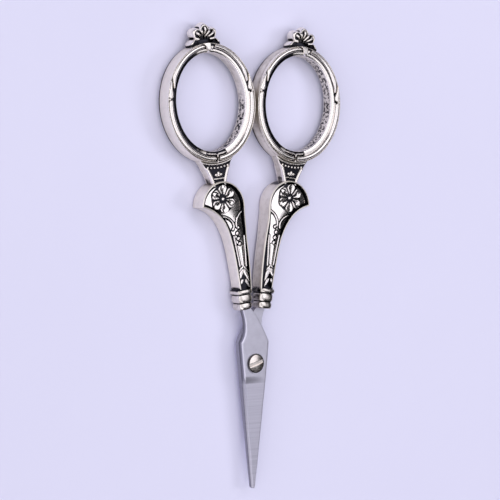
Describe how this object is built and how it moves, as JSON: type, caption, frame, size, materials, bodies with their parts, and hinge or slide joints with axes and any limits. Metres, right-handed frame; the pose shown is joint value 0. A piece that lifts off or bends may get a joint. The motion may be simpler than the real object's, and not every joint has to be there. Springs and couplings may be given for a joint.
{
  "type": "embroidery scissors",
  "caption": "Small pair of scissors with pointed steel blades on a slotted pivot screw and ornate cast silver handles ending in oval finger rings.",
  "frame": {"origin": "on the surface the scissors lie on, under the middle of their outline when closed", "axes": "+Y along the scissors from the blade tips to the finger rings, +Z out of the front face with the screw head, +X to the right seen from the front"},
  "size_m": [0.0594, 0.1278, 0.0054],
  "materials": {
    "blade_steel": "satin",
    "antique_silver": "polished",
    "screw_steel": "polished"
  },
  "bodies": {
    "rear_half": {"rear_blade": "blade_steel", "right_handle": "antique_silver", "pivot_screw": "screw_steel"},
    "front_half": {"front_blade": "blade_steel", "left_handle": "antique_silver"}
  },
  "joints": [
    {"name": "pivot", "type": "hinge", "parent": "rear_half", "child": "front_half", "pos_m": [0, -0.02908, 0.0027], "axis": [0, 0, 1], "range_deg": [0, 120]}
  ]
}
